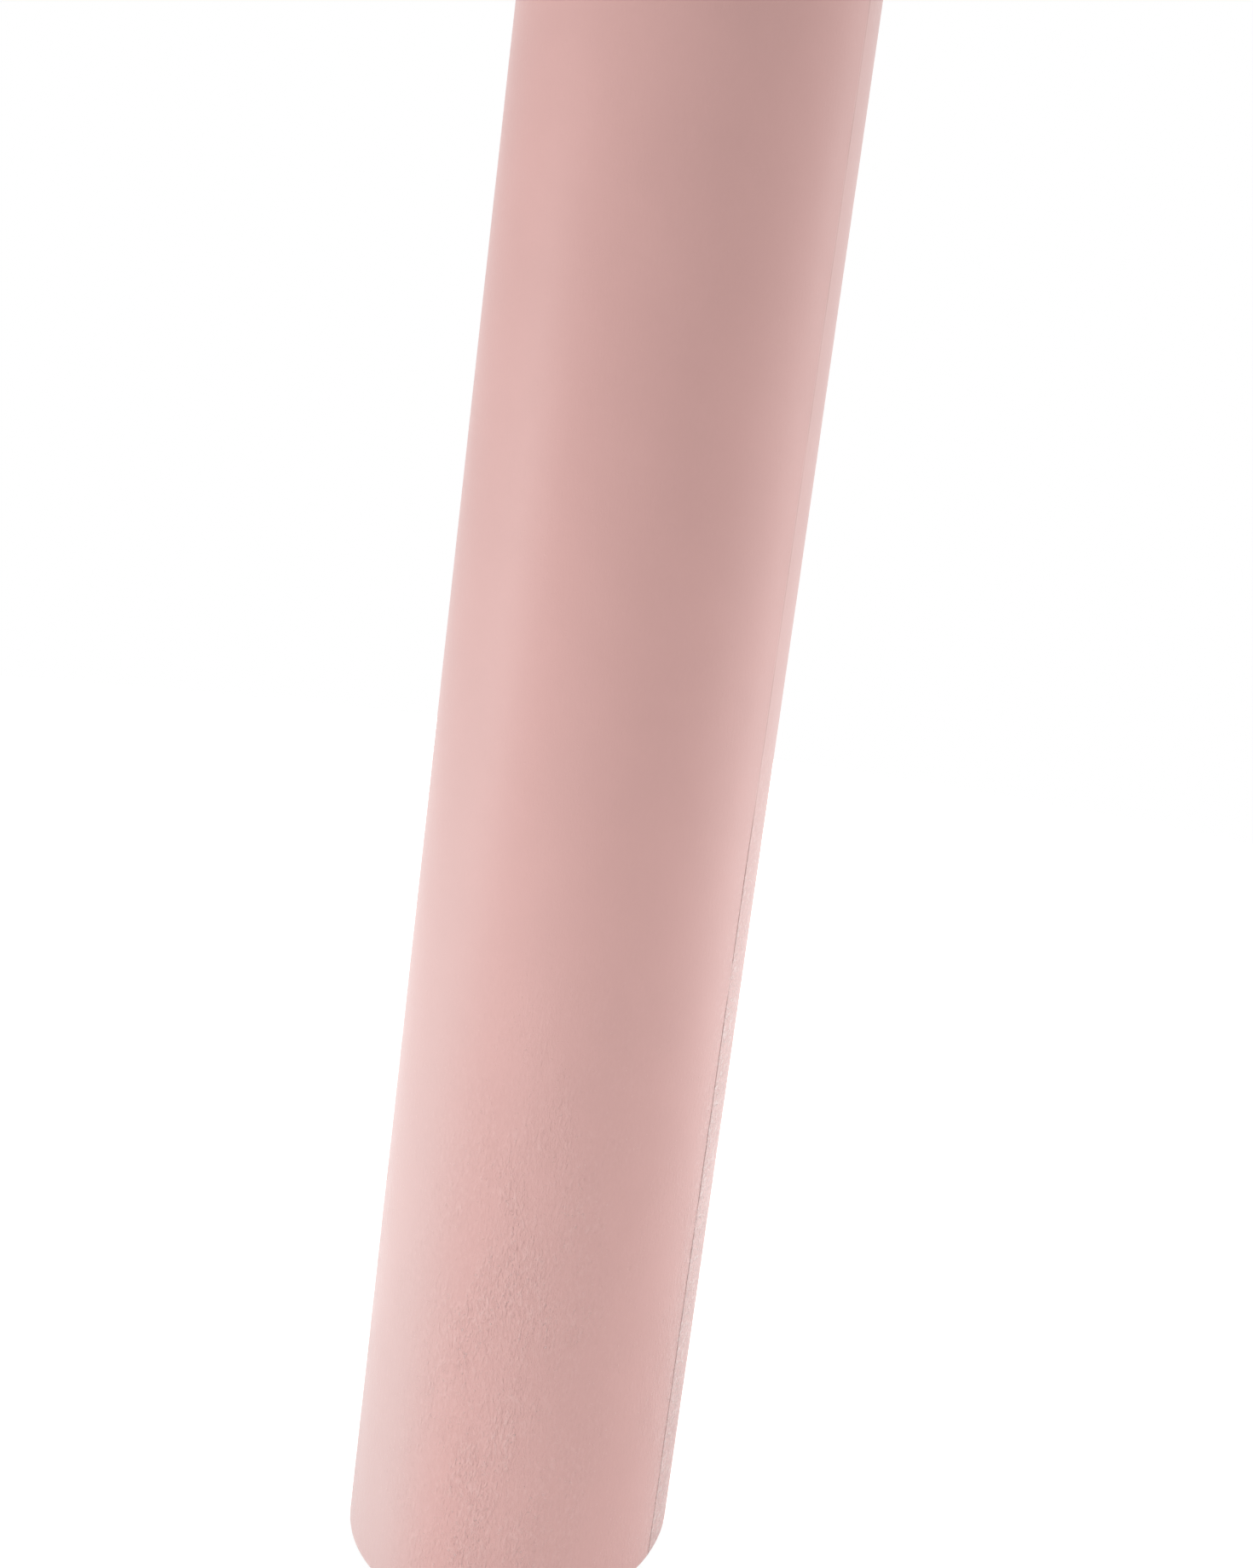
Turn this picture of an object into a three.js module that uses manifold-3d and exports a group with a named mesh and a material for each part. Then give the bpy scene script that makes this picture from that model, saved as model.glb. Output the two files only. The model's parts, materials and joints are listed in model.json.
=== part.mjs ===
// Full-length foam roller: an EVA foam sleeve on a rigid core tube, with a moulded cap pressed into each end.
// Lengths are in millimetres. The roller's axis is Z, and the origin is the centre of the lower end face,
// which the roller stands on.

import * as THREE from 'three';
import { mergeVertices } from 'three/addons/utils/BufferGeometryUtils.js';
import Module from 'manifold-3d';

const wasm = await Module();
wasm.setup();

// Foam sleeve: a sheet wrapped round the tube and closed along one straight butt seam, with rounded rims.
const ROLLER_LENGTH = 900;
const ROLLER_DIAMETER = 150;
const FOAM_THICKNESS = 19.7;
const RIM_RADIUS = 6;
const BORE_EDGE_RADIUS = 2;
const SEAM_WIDTH = 1.2;
const SEAM_DEPTH = 0.8;
const SEAM_ROOT_WIDTH = 0.3;
const SEAM_ANGLE = THREE.MathUtils.degToRad(-26);

// Core tube: a plain extruded tube that fills the sleeve's bore, cut square, with its edges broken.
const CORE_WALL = 4;
const CORE_CHAMFER = 0.8;

// End caps: a flange over the tube's end, a dished floor, and a skirt that grips the bore by its crush ribs.
const CAP_RECESS = 1.5;
const CAP_WALL = 2.4;
const CAP_EDGE_RADIUS = 0.8;
const SKIRT_DEPTH = 22;
const SKIRT_LEAD = 1.5;
const SKIRT_CHANNEL = 4.3;
const DISH_DEPTH = 6;
const DISH_CORNER_RADIUS = 2.4;
const DISH_DRAFT = 1;
const GATE_DIAMETER = 12;
const GATE_DEPTH = 0.6;
const HUB_DIAMETER = 22;
const WEB_COUNT = 8;
const WEB_THICKNESS = 2;
const CRUSH_RIB_COUNT = 12;
const CRUSH_RIB_HEIGHT = 0.6;
const CRUSH_RIB_WIDTH = 1.2;

// Gap left between pieces that touch, overrun of a cut past the face that it opens, and overlap of a join.
const SEAT_GAP = 0.3;
const OVERRUN = 1;
const JOIN_OVERLAP = 0.2;
const WELD_DISTANCE = 0.0005;

// Facets round a full turn, and along a rim or an edge.
const SLEEVE_FACETS = 96;
const CORE_FACETS = 72;
const CAP_FACETS = 60;
const RIM_FACETS = 6;
const EDGE_FACETS = 3;

// The most of a wall's thickness that its rim or edge rounding takes.
const RIM_WALL_SHARE = 0.6;
const BORE_EDGE_WALL_SHARE = 0.3;
const EDGE_WALL_SHARE = 0.45;
const DISH_CORNER_SHARE = 0.5;

// How far the hub, and the webs at the skirt, rise above the floor, of the skirt's height there.
const HUB_HEIGHT_SHARE = 0.45;
const WEB_RIM_HEIGHT_SHARE = 0.7;

// Sizes that follow from those above.
const OUTER_RADIUS = ROLLER_DIAMETER / 2;
const FOAM_BORE_RADIUS = OUTER_RADIUS - FOAM_THICKNESS;
const CORE_RADIUS = FOAM_BORE_RADIUS - SEAT_GAP;
const CORE_BORE_RADIUS = CORE_RADIUS - CORE_WALL;
const CORE_END_DEPTH = CAP_RECESS + CAP_WALL + SEAT_GAP;
const CORE_LENGTH = ROLLER_LENGTH - 2 * CORE_END_DEPTH;
const SKIRT_RADIUS = CORE_BORE_RADIUS - SEAT_GAP - CRUSH_RIB_HEIGHT;
const SKIRT_BORE_RADIUS = SKIRT_RADIUS - CAP_WALL;
const SKIRT_END = CAP_WALL + SKIRT_DEPTH;
const DISH_RADIUS = SKIRT_BORE_RADIUS - SKIRT_CHANNEL - CAP_WALL;
const FLOOR_RADIUS = DISH_RADIUS - DISH_DRAFT;
const FLOOR_TOP = DISH_DEPTH + CAP_WALL;
const HUB_TOP = FLOOR_TOP + (SKIRT_END - FLOOR_TOP) * HUB_HEIGHT_SHARE;
const WEB_RIM_TOP = FLOOR_TOP + (SKIRT_END - FLOOR_TOP) * WEB_RIM_HEIGHT_SHARE;

// Turns a geometry into a solid: vertices that meet become one, and the empty triangles on the axis go.
function solidOf(geometry) {
  const bare = geometry.clone();
  bare.deleteAttribute('normal');
  bare.deleteAttribute('uv');
  const welded = mergeVertices(bare, WELD_DISTANCE);
  const corners = welded.index.array;
  const triangles = [];
  for (let i = 0; i < corners.length; i += 3) {
    const [a, b, c] = corners.slice(i, i + 3);
    if (a !== b && b !== c && c !== a) {
      triangles.push(a, b, c);
    }
  }
  const mesh = new wasm.Mesh({
    numProp: 3,
    vertProperties: new Float32Array(welded.attributes.position.array),
    triVerts: new Uint32Array(triangles),
  });
  return new wasm.Manifold(mesh);
}

function geometryOf(solid) {
  const mesh = solid.getMesh();
  const geometry = new THREE.BufferGeometry();
  geometry.setAttribute('position', new THREE.BufferAttribute(mesh.vertProperties, mesh.numProp));
  geometry.setIndex(new THREE.BufferAttribute(mesh.triVerts, 1));
  geometry.computeVertexNormals();
  return geometry;
}

function point(radius, height) {
  return new THREE.Vector2(radius, height);
}

// Points of part of a turn about a centre in a section, both ends included.
function arc(centre, radius, fromDegrees, toDegrees, facets) {
  const points = [];
  for (let i = 0; i <= facets; i += 1) {
    const angle = THREE.MathUtils.degToRad(THREE.MathUtils.lerp(fromDegrees, toDegrees, i / facets));
    points.push(point(centre.x + radius * Math.cos(angle), centre.y + radius * Math.sin(angle)));
  }
  return points;
}

// Revolves a section about Z. The section is a list of (radius, height) points that runs anticlockwise.
function revolve(section, facets) {
  const geometry = new THREE.LatheGeometry(section, facets);
  geometry.rotateX(Math.PI / 2);
  return geometry;
}

function closed(section) {
  return [...section, section[0].clone()];
}

// A plate in the plane of the axis and +X, as thick as its depth and bevels make it, centred on that plane.
function radialPlate(outline, depth, bevel) {
  const geometry = new THREE.ExtrudeGeometry(new THREE.Shape(outline), { depth, steps: 1, ...bevel });
  geometry.translate(0, 0, -depth / 2);
  geometry.rotateX(Math.PI / 2);
  return solidOf(geometry);
}

// Adds evenly spaced copies of a solid round the axis.
function addRound(body, solid, count) {
  let result = body;
  for (let i = 0; i < count; i += 1) {
    result = result.add(solid.rotate([0, 0, 360 * i / count]));
  }
  return result;
}

// The end faces and the outside of the sleeve, from the bore at the bottom round to the bore at the top.
function sleeveOutside() {
  const rim = Math.min(RIM_RADIUS, FOAM_THICKNESS * RIM_WALL_SHARE);
  const rimCentre = OUTER_RADIUS - rim;
  return [
    ...arc(point(rimCentre, rim), rim, -90, 0, RIM_FACETS),
    ...arc(point(rimCentre, ROLLER_LENGTH - rim), rim, 0, 90, RIM_FACETS),
  ];
}

function sleeveSection() {
  const edge = Math.min(BORE_EDGE_RADIUS, FOAM_THICKNESS * BORE_EDGE_WALL_SHARE);
  const edgeCentre = FOAM_BORE_RADIUS + edge;
  return closed([
    ...arc(point(edgeCentre, edge), edge, 180, 270, EDGE_FACETS),
    ...sleeveOutside(),
    ...arc(point(edgeCentre, ROLLER_LENGTH - edge), edge, 90, 180, EDGE_FACETS),
  ]);
}

// A C-shaped plate round the sleeve's outside, whose inner edge is a wedge that sinks the seam into the foam.
function seamCutter() {
  const inside = FOAM_BORE_RADIUS - OVERRUN;
  const outside = OUTER_RADIUS + OVERRUN;
  const top = ROLLER_LENGTH + OVERRUN;
  const outline = [
    point(inside, 0),
    ...sleeveOutside(),
    point(inside, ROLLER_LENGTH),
    point(inside, top),
    point(outside, top),
    point(outside, -OVERRUN),
    point(inside, -OVERRUN),
  ];
  return radialPlate(outline, SEAM_ROOT_WIDTH, {
    bevelEnabled: true,
    bevelThickness: (SEAM_WIDTH - SEAM_ROOT_WIDTH) / 2,
    bevelSize: SEAM_DEPTH,
    bevelSegments: 1,
  });
}

function foamSleeve() {
  const body = solidOf(revolve(sleeveSection(), SLEEVE_FACETS));
  return geometryOf(body.subtract(seamCutter()));
}

function coreTube() {
  const chamfer = Math.min(CORE_CHAMFER, CORE_WALL * EDGE_WALL_SHARE);
  const section = [
    point(CORE_BORE_RADIUS + chamfer, 0),
    point(CORE_RADIUS - chamfer, 0),
    point(CORE_RADIUS, chamfer),
    point(CORE_RADIUS, CORE_LENGTH - chamfer),
    point(CORE_RADIUS - chamfer, CORE_LENGTH),
    point(CORE_BORE_RADIUS + chamfer, CORE_LENGTH),
    point(CORE_BORE_RADIUS, CORE_LENGTH - chamfer),
    point(CORE_BORE_RADIUS, chamfer),
  ];
  return revolve(closed(section), CORE_FACETS);
}

// The cap's revolved shell. Its outer face is at height 0, and its skirt points up, into the tube.
function capShell() {
  const edge = Math.min(CAP_EDGE_RADIUS, CAP_WALL * EDGE_WALL_SHARE);
  const corner = Math.min(DISH_CORNER_RADIUS, DISH_DEPTH * DISH_CORNER_SHARE);
  const cornerCentre = point(FLOOR_RADIUS - corner, DISH_DEPTH - corner);
  const section = [
    point(0, DISH_DEPTH + GATE_DEPTH),
    point(GATE_DIAMETER / 2, DISH_DEPTH + GATE_DEPTH),
    point(GATE_DIAMETER / 2, DISH_DEPTH),
    ...arc(cornerCentre, corner, 90, 0, EDGE_FACETS),
    ...arc(point(DISH_RADIUS + edge, edge), edge, 180, 270, EDGE_FACETS),
    ...arc(point(CORE_RADIUS - edge, edge), edge, -90, 0, EDGE_FACETS),
    point(CORE_RADIUS, CAP_WALL),
    point(SKIRT_RADIUS, CAP_WALL),
    point(SKIRT_RADIUS, SKIRT_END - SKIRT_LEAD),
    point(SKIRT_RADIUS - CAP_WALL * EDGE_WALL_SHARE, SKIRT_END),
    point(SKIRT_BORE_RADIUS, SKIRT_END),
    point(SKIRT_BORE_RADIUS, CAP_WALL),
    point(DISH_RADIUS + CAP_WALL, CAP_WALL),
    ...arc(cornerCentre, corner + CAP_WALL, 0, 90, EDGE_FACETS),
    point(0, FLOOR_TOP),
  ];
  return solidOf(revolve(section, CAP_FACETS));
}

function capHub() {
  const radius = HUB_DIAMETER / 2;
  const root = FLOOR_TOP - JOIN_OVERLAP;
  const section = [
    point(radius - CAP_WALL, root),
    point(radius, root),
    point(radius, HUB_TOP),
    point(radius - CAP_WALL, HUB_TOP),
  ];
  return solidOf(revolve(closed(section), CAP_FACETS));
}

// A stiffening web from the hub to the skirt, which slopes up outwards and fills the channel behind the dish.
function capWeb() {
  const hub = HUB_DIAMETER / 2 - CAP_WALL / 2;
  const step = DISH_RADIUS + CAP_WALL / 2;
  const rim = SKIRT_BORE_RADIUS + JOIN_OVERLAP;
  const outline = [
    point(hub, FLOOR_TOP - JOIN_OVERLAP),
    point(step, FLOOR_TOP - JOIN_OVERLAP),
    point(step, CAP_WALL - JOIN_OVERLAP),
    point(rim, CAP_WALL - JOIN_OVERLAP),
    point(rim, WEB_RIM_TOP),
    point(hub, HUB_TOP),
  ];
  return radialPlate(outline, WEB_THICKNESS, { bevelEnabled: false });
}

// A crush rib: a narrow bead on the skirt that starts under the flange and slopes down to nothing at the lead.
function crushRib() {
  const root = SKIRT_RADIUS - CAP_WALL / 2;
  const crest = SKIRT_RADIUS + CRUSH_RIB_HEIGHT;
  const outline = [
    point(root, CAP_WALL - JOIN_OVERLAP),
    point(crest, CAP_WALL - JOIN_OVERLAP),
    point(crest, SKIRT_END - 2 * SKIRT_LEAD),
    point(SKIRT_RADIUS, SKIRT_END - SKIRT_LEAD),
    point(root, SKIRT_END - SKIRT_LEAD),
  ];
  return radialPlate(outline, CRUSH_RIB_WIDTH, { bevelEnabled: false });
}

function endCap() {
  let body = capShell().add(capHub());
  body = addRound(body, capWeb(), WEB_COUNT);
  body = addRound(body, crushRib(), CRUSH_RIB_COUNT);
  return geometryOf(body);
}

function foamMaterial() {
  return new THREE.MeshStandardMaterial({ color: 0xd9aaa5, roughness: 0.85, metalness: 0 });
}

function coreMaterial() {
  return new THREE.MeshStandardMaterial({ color: 0x2c2c2e, roughness: 0.5, metalness: 0 });
}

function capMaterial() {
  return new THREE.MeshStandardMaterial({ color: 0x3a3a3d, roughness: 0.6, metalness: 0 });
}

function named(name, geometry, material) {
  const mesh = new THREE.Mesh(geometry, material);
  mesh.name = name;
  return mesh;
}

const group = new THREE.Group();

const sleeve = named('foam_sleeve', foamSleeve(), foamMaterial());
sleeve.rotation.z = SEAM_ANGLE;
group.add(sleeve);

const core = named('core_tube', coreTube(), coreMaterial());
core.position.z = CORE_END_DEPTH;
group.add(core);

const lowerCap = named('lower_end_cap', endCap(), capMaterial());
lowerCap.position.z = CAP_RECESS;
group.add(lowerCap);

const upperCap = named('upper_end_cap', endCap(), capMaterial());
upperCap.position.z = ROLLER_LENGTH - CAP_RECESS;
upperCap.rotation.x = Math.PI;
group.add(upperCap);

export default group;
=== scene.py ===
"""Full-length foam roller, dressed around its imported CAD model.

The roller stands on its lower end face: a pink foam sleeve with one lengthwise seam, a rigid tube in it, and a
moulded cap in each end. Lengths are in metres, in the frame of the CAD model, with +Z along the axis.
"""

import json
import logging
import math
from dataclasses import dataclass, field
from enum import StrEnum

import bmesh
import bpy
import numpy as np
from mathutils import Matrix, Vector

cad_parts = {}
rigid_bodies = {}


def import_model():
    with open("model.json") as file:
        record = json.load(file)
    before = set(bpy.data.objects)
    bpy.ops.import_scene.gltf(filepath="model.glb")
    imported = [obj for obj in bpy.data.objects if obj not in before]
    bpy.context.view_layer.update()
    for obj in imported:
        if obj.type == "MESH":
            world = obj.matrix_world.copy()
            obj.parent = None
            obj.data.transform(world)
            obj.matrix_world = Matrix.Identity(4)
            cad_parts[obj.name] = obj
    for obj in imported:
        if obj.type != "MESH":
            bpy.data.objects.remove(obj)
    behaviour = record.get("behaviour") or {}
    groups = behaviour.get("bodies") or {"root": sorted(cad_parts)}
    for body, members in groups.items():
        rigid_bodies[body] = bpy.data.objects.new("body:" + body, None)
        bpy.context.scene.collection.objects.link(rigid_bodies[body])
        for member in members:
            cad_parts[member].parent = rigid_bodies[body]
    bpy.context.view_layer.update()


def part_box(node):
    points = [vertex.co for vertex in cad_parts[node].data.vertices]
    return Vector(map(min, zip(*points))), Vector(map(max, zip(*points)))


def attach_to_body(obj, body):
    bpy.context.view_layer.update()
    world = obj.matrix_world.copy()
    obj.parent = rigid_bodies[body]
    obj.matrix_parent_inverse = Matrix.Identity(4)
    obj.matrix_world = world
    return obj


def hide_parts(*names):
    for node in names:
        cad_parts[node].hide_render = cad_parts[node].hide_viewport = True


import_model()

LOG = logging.getLogger("roller")
BODY = "root"

MM = 0.001
ROLLER_LENGTH = 900 * MM
ROLLER_DIAMETER = 150 * MM
TUBE_DIAMETER = 110 * MM
TUBE_WALL = 4 * MM
FIT_GAP = 0.3 * MM
ON_AXIS = 1e-7
SEEING_RAYS = ("Camera", "Glossy", "Transmission")
# The Mix node's colour sockets go by number, because several of its sockets share their names.
MIX_SHARE, MIX_FIRST, MIX_SECOND, MIX_RESULT = 0, 6, 7, 2

Array = np.ndarray
Wire = bpy.types.NodeSocket
Color = tuple[float, float, float, float]
Span = tuple[float, float]
Stretch = tuple[float, float, float]


class End(StrEnum):
    """The end of the roller that a cap closes. The value is the first word of its names."""

    LOWER = "lower"
    UPPER = "upper"


class Socket(StrEnum):
    """The sockets of the Principled shader that the finishes set."""

    COLOR = "Base Color"
    ROUGHNESS = "Roughness"
    NORMAL = "Normal"
    IOR = "IOR"
    SHEEN = "Sheen Weight"
    SHEEN_ROUGHNESS = "Sheen Roughness"


class Mask(StrEnum):
    """The masks that the sleeve's mesh carries and the foam's finish reads."""

    GRAIN = "grain"
    BLOOM = "painted_sheen"
    CUT_FACE = "cut_face"
    PAINTED_GROOVE_SHADE = "groove"
    PAINTED_LIP_HIGHLIGHT = "painted_lip_highlight"
    ROUGH_BAND = "rough_band"
    FAR_EDGE = "far_edge"


@dataclass(frozen=True)
class Noise:
    """A fractal pattern: its waves per metre, how many finer layers it has, and how strong those are."""

    scale: float
    detail: float = 2.0
    roughness: float = 0.65


class NodeSheet:
    """A node tree with short calls for the nodes that the finishes use."""

    def __init__(self, tree: bpy.types.NodeTree) -> None:
        """Empties the node tree of a material or of the world, and keeps it."""
        self.tree = tree
        tree.nodes.clear()

    def add(self, kind: str, inputs: dict | None = None, **settings: object) -> bpy.types.Node:
        """Adds a node.

        Args:
            kind: the node's type name, without the word ShaderNode.
            inputs: what its inputs take, as fill() has it.
            settings: properties of the node.

        Returns:
            The new node.
        """
        node = self.tree.nodes.new("ShaderNode" + kind)
        for name, value in settings.items():
            setattr(node, name, value)
        self.fill(node, inputs or {})
        return node

    def fill(self, node: bpy.types.Node, inputs: dict) -> None:
        """Fills inputs of a node.

        Args:
            node: the node.
            inputs: by each input's name or number, the output that it is linked from, or its plain value.
        """
        for key, value in inputs.items():
            if isinstance(value, Wire):
                self.tree.links.new(value, node.inputs[key])
            else:
                node.inputs[key].default_value = value

    def math(self, operation: str, first: object, second: object, clamp: bool = False) -> Wire:
        """Joins two values, each a socket or a number, by a Math node's operation."""
        return self.add("Math", {0: first, 1: second}, operation=operation, use_clamp=clamp).outputs[0]

    def scaled(self, value: object, factor: object) -> Wire:
        """Multiplies a value by a factor, each a socket or a number."""
        return self.math("MULTIPLY", value, factor)

    def noise(self, vector: Wire, noise: Noise) -> Wire:
        """Reads a fractal pattern, with values from 0 to 1, at a place."""
        inputs = {"Vector": vector, "Scale": noise.scale, "Detail": noise.detail, "Roughness": noise.roughness}
        return self.add("TexNoise", inputs, noise_dimensions="3D").outputs["Fac"]

    def ramp(self, value: Wire, span: Span, onto: Span = (0.0, 1.0)) -> Wire:
        """Maps a value smoothly from the span between two values onto another, and holds it there."""
        inputs = dict(zip(("Value", "From Min", "From Max", "To Min", "To Max"), (value, *span, *onto)))
        return self.add("MapRange", inputs, interpolation_type="SMOOTHSTEP", clamp=True).outputs["Result"]

    def blend(self, share: object, first: object, second: object) -> Wire:
        """Mixes two colours, sockets or plain ones. The share is how much of the second shows, from 0 to 1."""
        inputs = {MIX_SHARE: share, MIX_FIRST: first, MIX_SECOND: second}
        return self.add("Mix", inputs, data_type="RGBA", blend_type="MIX").outputs[MIX_RESULT]

    def place(self, stretch: Stretch = (1.0, 1.0, 1.0)) -> Wire:
        """Gives the place on the piece in metres. A factor below 1 draws a pattern out along its axis."""
        source = self.add("TexCoord").outputs["Object"]
        return self.add("Mapping", {"Vector": source, "Scale": stretch}).outputs["Vector"]

    def mask(self, mask: Mask) -> Wire:
        """Reads a mask that the mesh carries."""
        return self.add("Attribute", attribute_name=mask.value, attribute_type="GEOMETRY").outputs["Fac"]

    def bump(self, height: Wire, distance: float, strength: float = 1.0) -> Wire:
        """Turns a height into a normal. The distance is the height of 1, in metres."""
        inputs = {"Height": height, "Distance": distance, "Strength": strength}
        return self.add("Bump", inputs).outputs["Normal"]


class Finish:
    """A procedural material. Each kind of finish says in dress() how its nodes are laid."""

    def material(self, name: str) -> bpy.types.Material:
        """Makes the material.

        Args:
            name: the material's name.

        Returns:
            The finished material.
        """
        material = bpy.data.materials.new(name)
        material.use_nodes = True
        sheet = NodeSheet(material.node_tree)
        shader = sheet.add("BsdfPrincipled")
        sheet.add("OutputMaterial", {"Surface": shader.outputs["BSDF"]})
        self.dress(sheet, shader)
        return material

    def dress(self, sheet: NodeSheet, shader: bpy.types.Node) -> None:
        """Lays the nodes of the finish on the material's sheet, round its Principled shader."""
        raise NotImplementedError


class Pattern(StrEnum):
    """The patterns that the marks on the foam come from."""

    GRAIN = "grain"
    PITS = "pits"
    SPECKS = "specks"
    FLECKS = "flecks"
    PORES = "pores"


@dataclass(frozen=True)
class Mark:
    """A kind of mark on the foam, which shows where its mask lies.

    The share is how much of its colour shows. Its pattern comes up between the two values of the span. It rises
    by a share of the relief, or sinks where that is below zero.
    """

    mask: Mask
    color: Color
    share: float
    pattern: Pattern | None = None
    span: Span = (0.0, 1.0)
    rise: float = 0.0


@dataclass(frozen=True)
class FoamSkin(Finish):
    """Matte closed-cell EVA foam: a fine pitted skin, a rough band by the seam and cut cells on the end faces.

    The marks are laid over one another in their order, and the roughness goes with the grain.
    """

    PIT = (0.50, 0.27, 0.25, 1.0)
    SPECK = (0.84, 0.62, 0.59, 1.0)
    CUT = (0.73, 0.44, 0.41, 1.0)
    # Dark tone of the painted shade in the seam's groove.
    PAINTED_GROOVE_SHADE = (0.42, 0.22, 0.20, 1.0)
    # Pale tone of the rough band's flecks and of the strip beyond it, and of the painted highlight on the
    # seam's lip.
    PALE = (0.80, 0.69, 0.67, 1.0)
    DARK = (0.50, 0.35, 0.34, 1.0)
    # Pale tone of the painted sheen, which stands in for a grazing reflection.
    BLOOM = (0.65, 0.54, 0.525, 1.0)

    color: Color = (0.668, 0.391, 0.366, 1.0)
    ior: float = 1.45
    sheen: float = 0.3
    sheen_roughness: float = 0.33
    roughness: Span = (0.42, 0.54)
    roughness_span: Span = (0.2, 0.8)
    cut_roughness: float = 0.15
    relief: float = 0.85 * MM
    least_relief: float = 0.07
    lengthwise: Stretch = (1.0, 1.0, 0.42)
    mottle: Noise = Noise(22.0, 3.0, 0.55)
    mottle_span: Span = (0.3, 0.7)
    mottle_tones: Span = (0.985, 1.012)
    patches: Noise = Noise(55.0, 2.0, 0.6)
    patch_span: Span = (0.38, 0.62)
    patch_strength: Span = (0.5, 1.0)
    grain: Noise = Noise(820.0)
    pits: Noise = Noise(1000.0, 0.0)
    specks: Noise = Noise(1150.0, 0.0)
    flecks: Noise = Noise(430.0)
    fleck_stretch: Stretch = (0.6, 0.6, 1.0)
    pore_scale: float = 1100.0
    marks: tuple[Mark, ...] = (
        # Painted sheen: a pale tone on one side of the lower part, in place of a grazing reflection.
        Mark(Mask.BLOOM, BLOOM, 0.5),
        Mark(Mask.GRAIN, SPECK, 0.42, Pattern.GRAIN, span=(0.45, 0.8)),
        Mark(Mask.GRAIN, PIT, 0.16, Pattern.GRAIN, span=(0.55, 0.2)),
        Mark(Mask.GRAIN, PIT, 0.3, Pattern.PITS, span=(0.66, 0.80), rise=-0.15),
        Mark(Mask.GRAIN, SPECK, 0.9, Pattern.SPECKS, span=(0.72, 0.86), rise=0.5),
        Mark(Mask.FAR_EDGE, PALE, 0.13),
        Mark(Mask.ROUGH_BAND, PALE, 0.5, Pattern.FLECKS, span=(0.48, 0.66), rise=0.45),
        Mark(Mask.ROUGH_BAND, DARK, 0.55, Pattern.FLECKS, span=(0.50, 0.34)),
        # Painted highlight: a pale line on one lip of the seam, in place of the light that the groove's wall
        # and lip catch.
        Mark(Mask.PAINTED_LIP_HIGHLIGHT, PALE, 0.45),
        Mark(Mask.CUT_FACE, CUT, 1.0),
        Mark(Mask.CUT_FACE, PIT, 0.6, Pattern.PORES, span=(0.5, 0.25), rise=-0.4),
        # Painted shade: a dark line in the seam's groove, in place of the shade that falls into it.
        Mark(Mask.PAINTED_GROOVE_SHADE, PAINTED_GROOVE_SHADE, 1.0),
    )

    def dress(self, sheet: NodeSheet, shader: bpy.types.Node) -> None:
        """Lays the foam's colour, its marks and its relief.

        Args:
            sheet: the material's nodes.
            shader: its Principled shader.
        """
        plain = sheet.place()
        drawn = sheet.place(self.lengthwise)
        pores = sheet.add("TexVoronoi", {"Vector": plain, "Scale": self.pore_scale}, feature="F1")
        patterns = {
            Pattern.GRAIN: sheet.noise(drawn, self.grain),
            Pattern.PITS: sheet.noise(drawn, self.pits),
            Pattern.SPECKS: sheet.noise(plain, self.specks),
            Pattern.FLECKS: sheet.noise(sheet.place(self.fleck_stretch), self.flecks),
            Pattern.PORES: pores.outputs["Distance"],
        }
        masks = {mask: sheet.mask(mask) for mask in Mask}
        patches = sheet.ramp(sheet.noise(drawn, self.patches), self.patch_span, self.patch_strength)
        masks[Mask.GRAIN] = sheet.scaled(masks[Mask.GRAIN], patches)

        mottle = sheet.ramp(sheet.noise(plain, self.mottle), self.mottle_span)
        tone = sheet.blend(mottle, *(self.shade(factor) for factor in self.mottle_tones))
        ripple = sheet.ramp(masks[Mask.GRAIN], (0.0, 1.0), (self.least_relief, 1.0))
        height = sheet.scaled(patterns[Pattern.GRAIN], ripple)
        for mark in self.marks:
            seen = masks[mark.mask]
            if mark.pattern is not None:
                seen = sheet.scaled(sheet.ramp(patterns[mark.pattern], mark.span), seen)
            tone = sheet.blend(sheet.scaled(seen, mark.share), tone, mark.color)
            if mark.rise:
                height = sheet.math("ADD", height, sheet.scaled(seen, mark.rise))

        matte = sheet.ramp(patterns[Pattern.GRAIN], self.roughness_span, self.roughness)
        rougher = sheet.scaled(masks[Mask.CUT_FACE], self.cut_roughness)
        sheet.fill(shader, {
            Socket.COLOR: tone,
            Socket.ROUGHNESS: sheet.math("ADD", matte, rougher, clamp=True),
            Socket.NORMAL: sheet.bump(height, self.relief),
            Socket.IOR: self.ior,
            Socket.SHEEN: self.sheen,
            Socket.SHEEN_ROUGHNESS: self.sheen_roughness,
        })

    def shade(self, factor: float) -> Color:
        """Gives the foam's colour, lightened or darkened by a factor."""
        red, green, blue, alpha = self.color
        return (red * factor, green * factor, blue * factor, alpha)


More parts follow.
